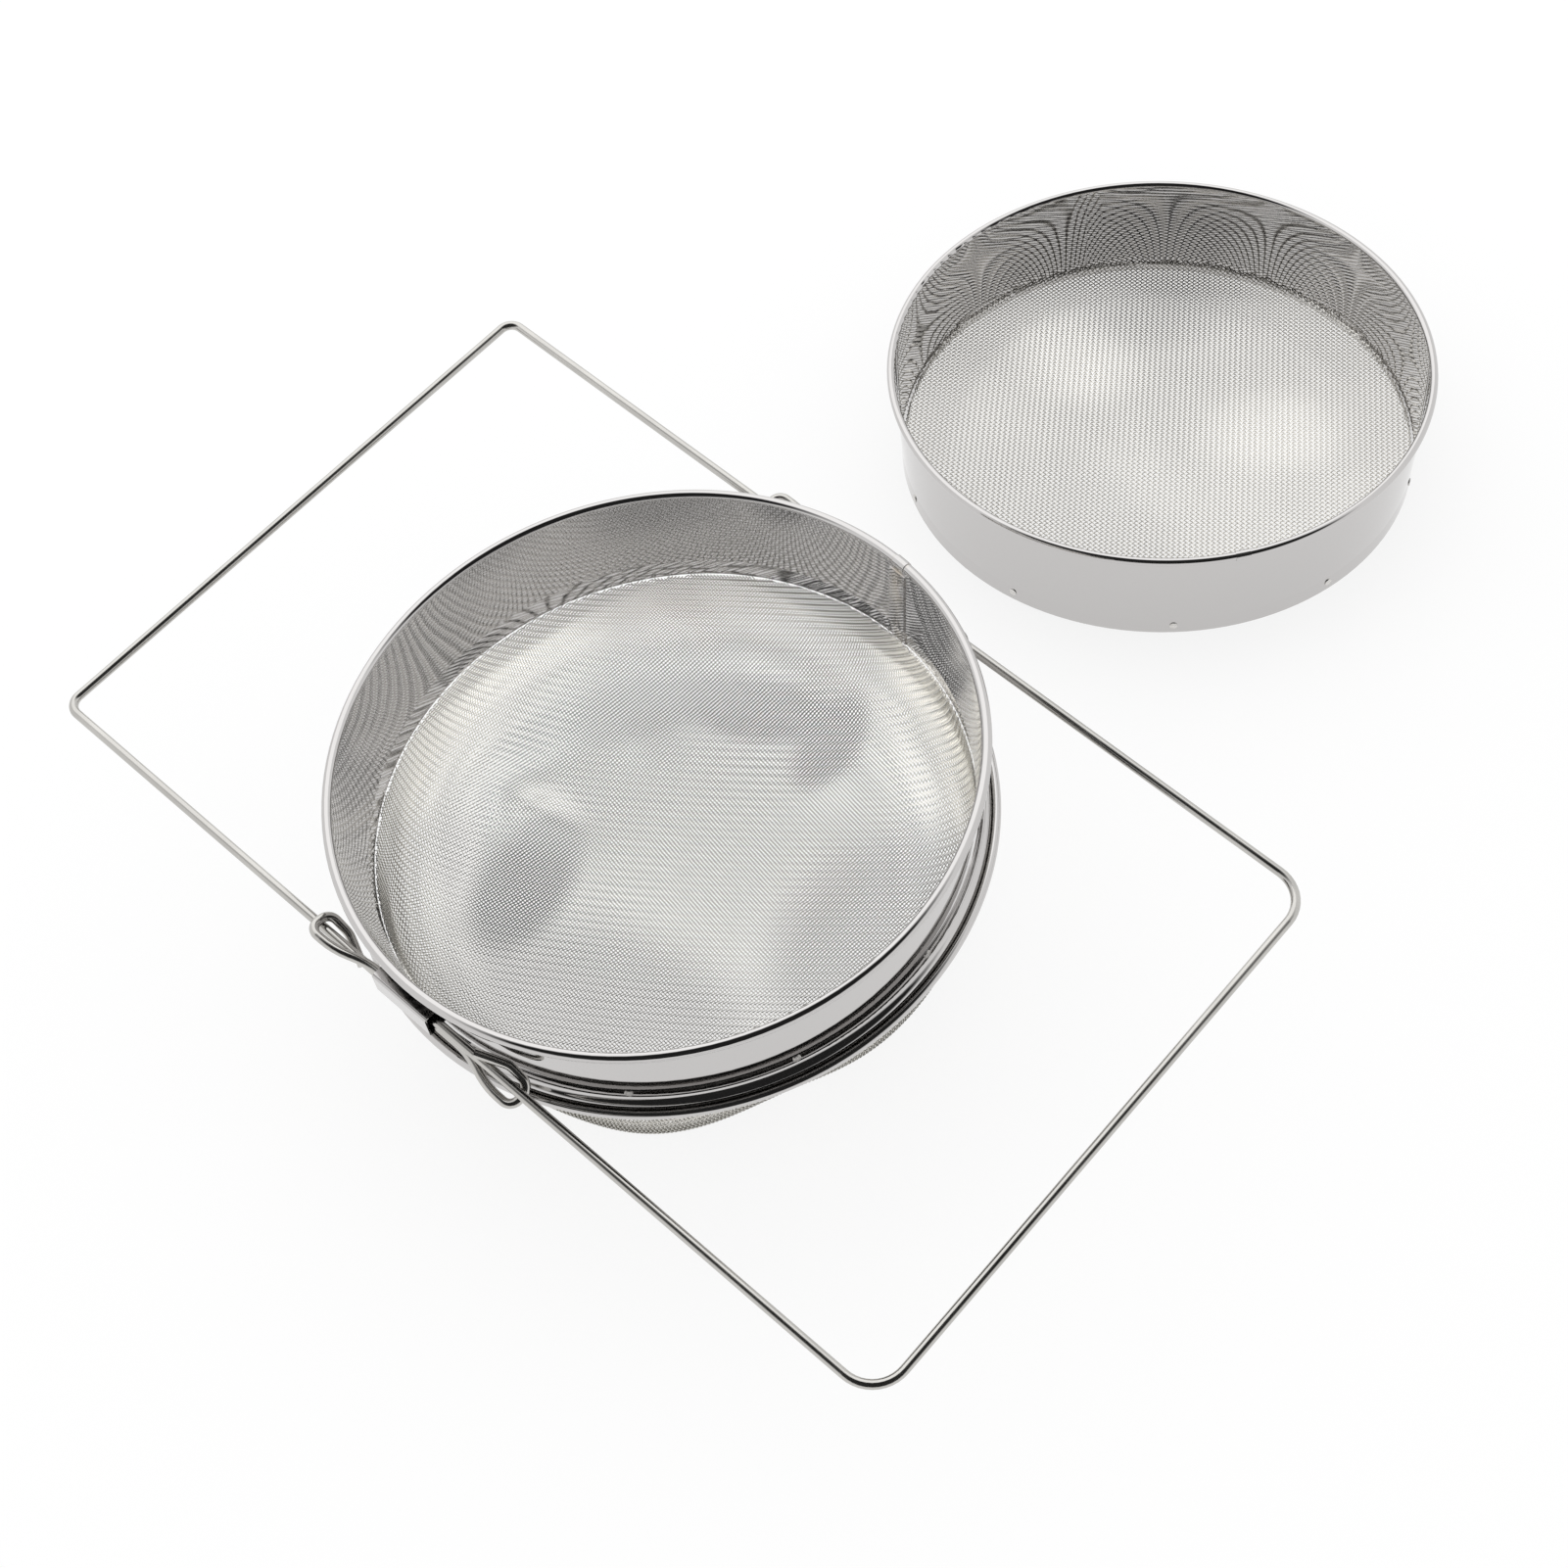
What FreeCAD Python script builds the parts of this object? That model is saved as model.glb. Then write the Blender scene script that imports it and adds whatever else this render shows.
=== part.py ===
"""Double sieve strainer: a fine domed sieve on two sliding wire frames, and a coarse sieve beside it.

Lengths are millimetres and angles degrees. Every sieve piece is drawn about its own ring axis, with
level 0 at the middle of the rim bead and depths counted down from there. Layout: the fine sieve leans
on its bowl on the table, the coarse sieve stands flat beside it, +X runs along the rods towards the
right frame and the model's origin is the middle of its footprint.
"""
import FreeCAD, Part
import math
import os
import re
import Sketcher

SIZES = [
    # sheet and wire stock
    ("sheet_wall", 0.6, "steel sheet of the bands, hoop and sleeves"),
    ("frame_wire", 3.6, "diameter of the sliding frames' wire"),
    ("wire_fit", 0.15, "clearance between a rolled edge and the wire inside it"),
    ("weave_fit", 0.1, "clearance between a weave and the sheet beside it"),
    # fine sieve: band, rolled rim, hoop
    ("fine_rim_radius", 122.5, "outside of the fine rim bead"),
    ("fine_band_radius", 114.6, "outside of the fine band"),
    ("fine_band_depth", 41.5, "rim bead to the band's lower edge"),
    ("fine_flare_height", 33.0, "height over which the band widens to the bead"),
    ("fine_roll_radius", 1.95, "radius of the fine rim bead"),
    ("hoop_top_depth", 34.5, "rim bead to the hoop's upper edge"),
    ("hoop_flare_depth", 38.0, "rim bead to where the hoop starts to flare"),
    ("hoop_bead_depth", 43.6, "rim bead to the hoop's own bead"),
    ("hoop_rim_radius", 122.4, "outside of the hoop's bead"),
    ("hoop_roll_radius", 1.95, "radius of the hoop's bead"),
    ("seam_width", 8.0, "overlap of the band's two ends"),
    ("seam_margin", 0.5, "how far the overlap stops short of the bead and the band's lower edge"),
    ("fine_seam_angle", 82.7, "direction of the fine seam, from +X"),
    # fine mesh bowl
    ("fine_mesh_wall", 0.6, "thickness of the fine weave"),
    ("bowl_edge_gap", 0.3, "inside of the fine band to the outside of the bowl's edge"),
    ("bowl_side_depth", 58.8, "rim bead to where the bowl's upright side starts to curve in"),
    ("bowl_knuckle_radius", 40.0, "outside radius of the curve between side and crown"),
    ("bowl_crown_radius", 400.0, "outside radius of the bowl's flat crown"),
    # coarse sieve
    ("coarse_rim_radius", 117.8, "outside of the coarse rim bead"),
    ("coarse_band_radius", 112.7, "outside of the coarse band"),
    ("coarse_band_depth", 47.5, "rim bead to the coarse band's lower edge"),
    ("coarse_flare_height", 40.0, "height over which the coarse band widens to the bead"),
    ("coarse_roll_radius", 1.7, "radius of the coarse rim bead"),
    ("coarse_mesh_wall", 0.9, "thickness of the coarse weave"),
    ("coarse_mesh_lift", 1.7, "lower edge of the band to the underside of the mesh"),
    ("coarse_fringe_height", 4.0, "height of the mesh edge turned up inside the band"),
    ("coarse_seam_angle", -35.2, "direction of the coarse seam, from +X"),
    # rim clips and spot welds
    ("clip_wall", 0.3, "sheet of the clips over the rim joints"),
    ("clip_length", 6.0, "length of a rim clip along the rim"),
    ("weld_radius", 1.6, "radius of a spot weld"),
    ("weld_height", 0.3, "height of a spot weld over its sheet"),
    ("fine_weld_count", 12, "spot welds on the hoop"),
    ("fine_weld_angle", 6.5, "direction of the first fine weld"),
    ("fine_weld_depth", 36.4, "rim bead to the fine welds"),
    ("coarse_weld_count", 10, "spot welds that hold the coarse mesh"),
    ("coarse_weld_angle", -12.0, "direction of the first coarse weld"),
    ("coarse_weld_depth", 43.2, "rim bead to the coarse welds"),
    # guide sleeves
    ("sleeve_length", 27.0, "length of a guide sleeve"),
    ("sleeve_wall", 0.8, "sheet of a guide sleeve"),
    ("sleeve_fit", 0.4, "clearance between the rods and their sleeve"),
    ("sleeve_bend", 1.2, "outside bend radius of a sleeve"),
    ("sleeve_offset", 12.5, "sleeve centres, left of the ring axis"),
    ("sleeve_depth", 23.0, "rim bead to the middle of the two rods in a sleeve"),
    ("sleeve_headroom", 3.0, "empty height over the upper rod in a sleeve"),
    ("sleeve_side_room", 0.9, "empty width outside the rods in a sleeve"),
    ("sleeve_root", 11.5, "length of channel drawn inside the band, which the band's drum cuts off"),
    # sliding frames
    ("rod_gap", 0.4, "clearance between the two rods of one side"),
    ("rod_standoff", 1.076364, "fine band to the rods at the height of the upper rod's top"),
    ("left_corner_radius", 5.5, "centre-line radius of the left frame's corners"),
    ("right_corner_radius", 14.0, "centre-line radius of the right frame's corners"),
    ("left_reach", 187.2, "sleeve centre to the left end bar"),
    ("right_reach", 218.4, "sleeve centre to the right end bar"),
    ("left_eye_reach", 54.6, "sleeve centre to the closed end of the left frame's eyes"),
    ("right_eye_reach", 44.6, "sleeve centre to the closed end of the right frame's eyes"),
    ("left_skew", 0.8, "how much longer the left frame's near arm is at each end"),
    ("right_skew", 1.8, "how much longer the right frame's near arm is at each end"),
    ("eye_length", 25.5, "closed end of an eye to where its wire leaves the straight rod"),
    ("eye_half_width", 4.8, "rod centre to the centre of the wire on each side of the eye"),
    ("eye_turn_radius", 4.4, "centre-line radius of the eye's closed end"),
    ("eye_splay", 12.6, "length over which the wire leaves its rod"),
    ("eye_sweep_radius", 33.6, "centre-line radius of the bends where the wire leaves its rod"),
    ("eye_rise", 1.26, "height that the wire gains as it leaves, and loses round the eye"),
    ("eye_crown_rise", 1.68, "height over the rod at the eye's closed end"),
    ("eye_dive", 8.8, "closed end to where the wire has dived under the other rod"),
    ("eye_dive_radius", 6.3, "centre-line radius of that bend"),
    ("eye_drop", 2.6, "depth of the dive under the other rod"),
    ("eye_tip_reach", 20.6, "closed end to the tip"),
    ("eye_tip_shift", 0.4, "tip outwards of the rods"),
    ("eye_tip_drop", 4.9, "depth of the tip under the other rod"),
    # how the pieces lie
    ("lean", 6.36, "tilt of the fine sieve about +X as it leans on its bowl"),
    ("droop", 6.9, "tilt of the rods in their sleeves, right end down"),
    ("coarse_offset_x", -22.2, "fine to coarse ring centre along X"),
    ("coarse_offset_y", 326.3, "fine to coarse ring centre along Y"),
]

# formulas that several pieces share
HOOP_RADIUS = "fine_band_radius + fine_mesh_wall + 2 * weave_fit + sheet_wall"
FINE_BAND_STEP = "(fine_rim_radius - 2 * fine_roll_radius + sheet_wall - fine_band_radius)"
ROD_TOP_DEPTH = "(sleeve_depth - frame_wire - rod_gap / 2)"
FLARE_AT_RODS = f"({FINE_BAND_STEP} * max(0; 1 - {ROD_TOP_DEPTH} / fine_flare_height))"
ROD_RADIUS = f"(fine_band_radius + {FLARE_AT_RODS} + rod_standoff + frame_wire / 2)"
BOWL_EDGE = "(fine_band_radius - sheet_wall - bowl_edge_gap)"
BOWL_FLANGE_LEVEL = "(-fine_band_depth - weave_fit - fine_mesh_wall)"
BOWL_SIDE_SINE = f"(({BOWL_EDGE} - bowl_knuckle_radius) / (bowl_crown_radius - bowl_knuckle_radius))"
BOWL_SIDE_COSINE = f"sqrt(1 - {BOWL_SIDE_SINE} ^ 2)"
BOWL_CROWN_LEVEL = f"((bowl_crown_radius - bowl_knuckle_radius) * {BOWL_SIDE_COSINE} - bowl_side_depth)"

UP = FreeCAD.Vector(0, 0, 1)
EAST = FreeCAD.Vector(1, 0, 0)
NORTH = FreeCAD.Vector(0, 1, 0)

doc = FreeCAD.newDocument("double_sieve_strainer")
sheet = doc.addObject("Spreadsheet::Sheet", "Sizes")


def fill_sheet():
    for row, (alias, number, note) in enumerate(SIZES, start=1):
        sheet.set(f"A{row}", alias)
        sheet.set(f"B{row}", str(number))
        sheet.set(f"C{row}", note)
        sheet.setAlias(f"B{row}", alias)
    doc.recompute()


def linked(formula):
    """The formula with each size's name pointing at its cell."""
    names = {alias for alias, _, _ in SIZES}
    return re.sub(r"[a-z_]+", lambda m: f"Sizes.{m[0]}" if m[0] in names else m[0], str(formula))


def size(formula):
    return float(sheet.evalExpression(linked(formula)))


def bind(item, **formulas):
    for name, formula in formulas.items():
        item.setExpression(name, linked(formula))


# ---------------------------------------------------------------- sketches and revolved sheet

def origin_plane(body, role):
    return next(plane for plane in body.Origin.OriginFeatures if plane.Role == role)


def add_arc(sketch, start, end, radius, turn, major):
    """An arc from start to end; turn is 1 to the left and -1 to the right. Returns its two end names."""
    chord = end - start
    half = chord.Length / 2
    across = FreeCAD.Vector(-chord.y, chord.x, 0).normalize()
    reach = math.sqrt(max(radius ** 2 - half ** 2, 0)) * turn * (-1 if major else 1)
    centre = start + chord * 0.5 + across * reach
    first, last = (start, end) if turn > 0 else (end, start)
    angles = [math.atan2(point.y - centre.y, point.x - centre.x) for point in (first, last)]
    circle = Part.Circle(centre, UP, radius)
    index = sketch.addGeometry(Part.ArcOfCircle(circle, *angles), False)
    return index, (1, 2) if turn > 0 else (2, 1)


def pin_point(sketch, index, end, x, y):
    """Tie one end of a line or arc to the place (x, y), both formulas."""
    for axis, kind, formula in ((-2, "DistanceX", x), (-1, "DistanceY", y)):
        distance = size(formula)
        if abs(distance) < 1e-9:
            sketch.addConstraint(Sketcher.Constraint("PointOnObject", index, end, axis))
        else:
            row = sketch.addConstraint(Sketcher.Constraint(kind, -1, 1, index, end, distance))
            sketch.setExpression(f"Constraints[{row}]", linked(formula))


def draw_outline(body, name, corners, role="XZ_Plane"):
    """A closed sketch through the corners (x, y, bend), where bend describes the way to the next one:
    None for a line, or (radius, turn) or (radius, turn, "major") for an arc."""
    sketch = body.newObject("Sketcher::SketchObject", name)
    sketch.AttachmentSupport = (origin_plane(body, role), [""])
    sketch.MapMode = "FlatFace"
    points = [FreeCAD.Vector(size(x), size(y), 0) for x, y, _ in corners]
    ends = []
    for number, (x, y, bend) in enumerate(corners):
        start, finish = points[number], points[(number + 1) % len(points)]
        if bend is None:
            index = sketch.addGeometry(Part.LineSegment(start, finish), False)
            here, there = 1, 2
        else:
            index, (here, there) = add_arc(sketch, start, finish, size(bend[0]), bend[1], len(bend) > 2)
        pin_point(sketch, index, here, x, y)
        ends.append((index, here, there, bend))
    for (index, _, there, bend), (after, here, _, _) in zip(ends, ends[1:] + ends[:1]):
        sketch.addConstraint(Sketcher.Constraint("Coincident", index, there, after, here))
        if bend is not None:
            row = sketch.addConstraint(Sketcher.Constraint("Radius", index, size(bend[0])))
            sketch.setExpression(f"Constraints[{row}]", linked(bend[0]))
    return sketch


def revolve(body, sketch, name, angle="360"):
    """Turn the sketch about the ring axis, centred on the sketch's own plane."""
    ring = body.newObject("PartDesign::Revolution", name)
    ring.Profile = sketch
    ring.ReferenceAxis = (sketch, ["V_Axis"])
    ring.Midplane = True
    bind(ring, Angle=angle)
    sketch.Visibility = False
    return ring


def rolled_sheet(name, wall_radius, free_end, flare, flare_height, rim_radius, roll_radius, up,
                 swept=False):
    """A ring of sheet whose wall runs from free_end to the flare, then widens and rolls round a bead.

    wall_radius is the wall's outside; free_end and flare are levels; up is 1 for a bead above the
    wall and -1 for one below it. The wall widens as a cone, or if swept in a double bend."""
    body = doc.addObject("PartDesign::Body", name)
    step = f"(({rim_radius}) - 2 * ({roll_radius}) - (({wall_radius}) - sheet_wall))"
    bend = f"(({step}) ^ 2 + ({flare_height}) ^ 2) / (4 * {step})"
    slope_sine = f"(({flare_height}) / (2 * ({bend})))"
    slope_cosine = f"(1 - {step} / (2 * ({bend})))"
    half = "sheet_wall / 2"
    bead_level = f"(({flare}) + {up} * ({flare_height}))"
    middle_x = f"(({wall_radius}) - {half} + {step} / 2)"
    middle_y = f"(({flare}) + {up} * ({flare_height}) / 2)"
    bead_x = f"(({rim_radius}) - ({roll_radius}))"
    core = f"(({roll_radius}) - sheet_wall)"
    inner = f"(({wall_radius}) - sheet_wall)"
    first_bend = (f"{bend} + {half}", -up) if swept else None
    inside_bend = [(f"{middle_x} - {half} * {slope_cosine}",
                    f"{middle_y} + {up} * {half} * {slope_sine}", (f"{bend} - {half}", up))]
    outside_bend = [(f"{middle_x} + {half} * {slope_cosine}",
                     f"{middle_y} - {up} * {half} * {slope_sine}", (f"{bend} - {half}", up))]
    outline = draw_outline(body, f"{name}_outline", [
        (inner, free_end, None),
        (inner, flare, first_bend),
        *(inside_bend if swept else []),
        (f"({rim_radius}) - 2 * ({roll_radius})", bead_level, (roll_radius, -up, "major")),
        (bead_x, f"{bead_level} - {up} * ({roll_radius})", None),
        (bead_x, f"{bead_level} - {up} * {core}", (core, up, "major")),
        (f"{bead_x} - {core}", bead_level, first_bend),
        *(outside_bend if swept else []),
        (wall_radius, flare, None),
        (wall_radius, free_end, None),
    ])
    revolve(body, outline, f"{name}_ring")
    return body


def ring_wire(name, rim_radius, roll_radius, level):
    """The round wire inside a rolled edge."""
    wire = doc.addObject("Part::Torus", name)
    bind(wire, Radius1=f"({rim_radius}) - ({roll_radius})",
         Radius2=f"({roll_radius}) - sheet_wall - wire_fit")
    return wire, FreeCAD.Placement(UP * size(level), FreeCAD.Rotation())


def rim_clip(name, rim_radius, roll_radius):
    """A short sheet clip wrapped over the joint in a rolled rim."""
    clip = doc.addObject("Part::Cut", name)
    clip.Base = doc.addObject("Part::Torus", f"{name}_outside")
    clip.Tool = doc.addObject("Part::Torus", f"{name}_inside")
    centre = f"({rim_radius}) - ({roll_radius})"
    sweep = f"clip_length / ({centre}) * 180 / pi"
    bind(clip.Base, Radius1=centre, Radius2=f"({roll_radius}) + clip_wall", Angle3=sweep)
    bind(clip.Tool, Radius1=centre, Radius2=roll_radius)
    return clip


# ---------------------------------------------------------------- fine sieve

def fine_band():
    body = rolled_sheet("fine_band", "fine_band_radius", "-fine_band_depth", "-fine_flare_height",
                        "fine_flare_height", "fine_rim_radius", "fine_roll_radius", 1)
    outside = "(fine_band_radius - sheet_wall)"
    foot = "seam_margin - fine_band_depth"
    head = "-(fine_roll_radius + seam_margin)"
    spread = f"({FINE_BAND_STEP} * (1 + {head} / fine_flare_height))"
    lap = draw_outline(body, "seam_outline", [
        (f"{outside} - sheet_wall", foot, None),
        (outside, foot, None),
        (outside, "-fine_flare_height", None),
        (f"{outside} + {spread}", head, None),
        (f"{outside} + {spread} - sheet_wall", head, None),
        (f"{outside} - sheet_wall", "-fine_flare_height", None)])
    revolve(body, lap, "seam_lap", "seam_width / fine_band_radius * 180 / pi")
    return body


def bottom_hoop():
    """The outer hoop that clamps the bowl's edge to the band and ends in a bead of its own."""
    return rolled_sheet("fine_bottom_hoop", HOOP_RADIUS,
                        "-hoop_top_depth", "-hoop_flare_depth", "hoop_bead_depth - hoop_flare_depth",
                        "hoop_rim_radius", "hoop_roll_radius", -1, swept=True)


def mesh_bowl():
    """The domed weave: its edge turns out under the band and up between the band and the hoop."""
    body = doc.addObject("PartDesign::Body", "fine_mesh_bowl")
    inner_crown = "(bowl_crown_radius - fine_mesh_wall)"
    inner_knuckle = "(bowl_knuckle_radius - fine_mesh_wall)"
    inner_edge = f"({BOWL_EDGE} - fine_mesh_wall)"
    flange = "(fine_band_radius + weave_fit)"
    top = "(-fine_band_depth - weave_fit)"
    outline = draw_outline(body, "bowl_outline", [
        (f"{flange} + fine_mesh_wall", "-hoop_top_depth", None),
        (flange, "-hoop_top_depth", None),
        (flange, top, None),
        (inner_edge, top, None),
        (inner_edge, "-bowl_side_depth", (inner_knuckle, -1)),
        (f"{inner_crown} * {BOWL_SIDE_SINE}", f"{BOWL_CROWN_LEVEL} - {inner_crown} * {BOWL_SIDE_COSINE}",
         (inner_crown, -1)),
        ("0", f"{BOWL_CROWN_LEVEL} - {inner_crown}", None),
        ("0", f"{BOWL_CROWN_LEVEL} - bowl_crown_radius", ("bowl_crown_radius", 1)),
        (f"bowl_crown_radius * {BOWL_SIDE_SINE}",
         f"{BOWL_CROWN_LEVEL} - bowl_crown_radius * {BOWL_SIDE_COSINE}", ("bowl_knuckle_radius", 1)),
        (BOWL_EDGE, "-bowl_side_depth", None),
        (BOWL_EDGE, BOWL_FLANGE_LEVEL, None),
        (f"{flange} + fine_mesh_wall", BOWL_FLANGE_LEVEL, None),
    ])
    revolve(body, outline, "bowl_shell")
    return body


# ---------------------------------------------------------------- coarse sieve

def coarse_band():
    return rolled_sheet("coarse_band", "coarse_band_radius", "-coarse_band_depth",
                        "-coarse_flare_height", "coarse_flare_height", "coarse_rim_radius",
                        "coarse_roll_radius", 1)


def coarse_mesh():
    """The flat weave, with its cut edge turned up against the inside of the band."""
    body = doc.addObject("PartDesign::Body", "coarse_mesh_disc")
    outside = "(coarse_band_radius - sheet_wall - weave_fit)"
    inside = f"({outside} - coarse_mesh_wall)"
    underside = "(coarse_mesh_lift - coarse_band_depth)"
    face = f"({underside} + coarse_mesh_wall)"
    fringe = f"({underside} + coarse_fringe_height)"
    outline = draw_outline(body, "disc_outline", [
        ("0", underside, None), (outside, underside, None), (outside, fringe, None),
        (inside, fringe, None), (inside, face, None), ("0", face, None)])
    revolve(body, outline, "disc_shell")
    return body


# ---------------------------------------------------------------- spot welds and guide sleeves

def weld_ring(name, surface_radius, depth, count, first_angle):
    """Shallow buttons round a ring, each seated on the curved sheet."""
    radius, level = size(surface_radius), -size(depth)
    drum = Part.makeCylinder(radius, 4 * size("weld_radius"), UP * (level - 2 * size("weld_radius")))
    button = Part.makeCylinder(size("weld_radius"), radius + size("weld_height"), UP * level, EAST)
    button = button.cut(drum).Solids[0]
    buttons = []
    for number in range(round(size(count))):
        spot = button.copy()
        spot.rotate(FreeCAD.Vector(), UP, size(first_angle) + number * 360 / round(size(count)))
        buttons.append(spot)
    ring = doc.addObject("Part::Feature", name)
    ring.Shape = Part.makeCompound(buttons)
    return ring


def guide_sleeve(name, side, ring_pose, slide_pose):
    """A bent sheet channel that closes against the band and holds both rods, one above the other."""
    body = doc.addObject("PartDesign::Body", f"{name}_channel")
    cover = f"({ROD_RADIUS} + frame_wire / 2 + sleeve_fit + sleeve_side_room)"
    lid = "(frame_wire + rod_gap / 2 + sleeve_fit + sleeve_headroom)"
    floor = "(-frame_wire - rod_gap / 2 - sleeve_fit)"
    inner_bend = "(sleeve_bend - sleeve_wall)"
    root = "(fine_band_radius - sleeve_root)"
    outline = draw_outline(body, "channel_outline", [
        (root, f"{lid} + sleeve_wall", None),
        (f"{cover} + sleeve_wall - sleeve_bend", f"{lid} + sleeve_wall", ("sleeve_bend", -1)),
        (f"{cover} + sleeve_wall", f"{lid} + sleeve_wall - sleeve_bend", None),
        (f"{cover} + sleeve_wall", f"sleeve_bend + {floor} - sleeve_wall", ("sleeve_bend", -1)),
        (f"{cover} + sleeve_wall - sleeve_bend", f"{floor} - sleeve_wall", None),
        (root, f"{floor} - sleeve_wall", None),
        (root, floor, None),
        (f"{cover} - {inner_bend}", floor, (inner_bend, 1)),
        (cover, f"{inner_bend} + {floor}", None),
        (cover, f"{lid} - {inner_bend}", (inner_bend, 1)),
        (f"{cover} - {inner_bend}", lid, None),
        (root, lid, None),
    ], "YZ_Plane")
    channel = body.newObject("PartDesign::Pad", "channel")
    channel.Profile = outline
    channel.Midplane = True
    bind(channel, Length="sleeve_length")
    outline.Visibility = False
    flip = FreeCAD.Rotation(UP, 0 if side > 0 else 180)
    body.Placement = slide_pose * FreeCAD.Placement(FreeCAD.Vector(), flip)
    drum = doc.addObject("Part::Cone", f"{name}_drum")
    bind(drum, Radius1="fine_band_radius", Radius2=f"fine_band_radius + {FINE_BAND_STEP}",
         Height="fine_flare_height")
    drum.Placement = ring_pose * FreeCAD.Placement(UP * -size("fine_flare_height"), FreeCAD.Rotation())
    sleeve = doc.addObject("Part::Cut", name)
    sleeve.Base = body
    sleeve.Tool = drum
    return sleeve


# ---------------------------------------------------------------- sliding frames

def rounded_path(corners):
    """Straight runs through the corners (point, radius), joined by tangent arcs."""
    edges = []
    place = corners[0][0]
    for (before, _), (corner, radius), (after, _) in zip(corners, corners[1:], corners[2:]):
        back = (before - corner).normalize()
        ahead = (after - corner).normalize()
        half = back.getAngle(ahead) / 2
        reach = radius / math.tan(half)
        middle = corner + (back + ahead).normalize() * (radius / math.sin(half) - radius)
        start, end = corner + back * reach, corner + ahead * reach
        edges.append(Part.LineSegment(place, start).toShape())
        edges.append(Part.Arc(start, middle, end).toShape())
        place = end
    edges.append(Part.LineSegment(place, corners[-1][0]).toShape())
    return Part.Wire(edges)


def eye_corners(side, eye_reach):
    """The bent eye at the end of one arm, from the straight rod to its tip.

    The wire leaves its rod outwards, turns back over the other frame's rod and tucks under it. Each
    corner is (distance back from the closed end, distance outwards, height over its own rod, radius).
    """
    pitch = size("frame_wire + rod_gap")
    ride = size("eye_half_width")
    turn = size("eye_turn_radius")
    shape = [
        (size("eye_length"), 0.0, 0.0, size("eye_sweep_radius")),
        (size("eye_length - eye_splay"), ride, size("eye_rise"), size("eye_sweep_radius")),
        (0.0, ride, size("eye_crown_rise"), turn),
        (0.0, -ride, -size("eye_rise"), turn),
        (size("eye_dive"), -ride, -pitch - size("eye_drop"), size("eye_dive_radius")),
        (size("eye_tip_reach"), size("eye_tip_shift"), -pitch - size("eye_tip_drop"), 0),
    ]
    rod = size(ROD_RADIUS)
    return [(FreeCAD.Vector(back - eye_reach, side * (rod + out), pitch / 2 + rise), radius)
            for back, out, rise, radius in shape]


def sliding_frame(hand):
    """One wire bent to a U: an eye, an arm, the end bar, the other arm and its eye."""
    name = f"{hand}_handle_frame"
    rod = size(ROD_RADIUS)
    level = size("frame_wire + rod_gap") / 2

    def arm(side):
        longer = -side * size(f"{hand}_skew")
        end = FreeCAD.Vector(size(f"{hand}_reach") + longer, side * rod, level)
        return [(end, size(f"{hand}_corner_radius")),
                *eye_corners(side, size(f"{hand}_eye_reach") + longer)]

    corners = [*reversed(arm(-1)), *arm(1)]
    path = rounded_path(corners)
    start, ahead = corners[0][0], corners[1][0] - corners[0][0]
    section = Part.Wire(Part.makeCircle(size("frame_wire") / 2, start, ahead))
    frame = doc.addObject("Part::Feature", name)
    frame.Shape = path.makePipeShell([section], True, False)
    expected = path.Length * math.pi * size("frame_wire") ** 2 / 4
    print(f"{name}: volume {frame.Shape.Volume:.1f}, section times length {expected:.1f}")
    return frame


# ---------------------------------------------------------------- assembly

def turned(axis, angle):
    return FreeCAD.Placement(FreeCAD.Vector(), FreeCAD.Rotation(axis, angle))


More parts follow.
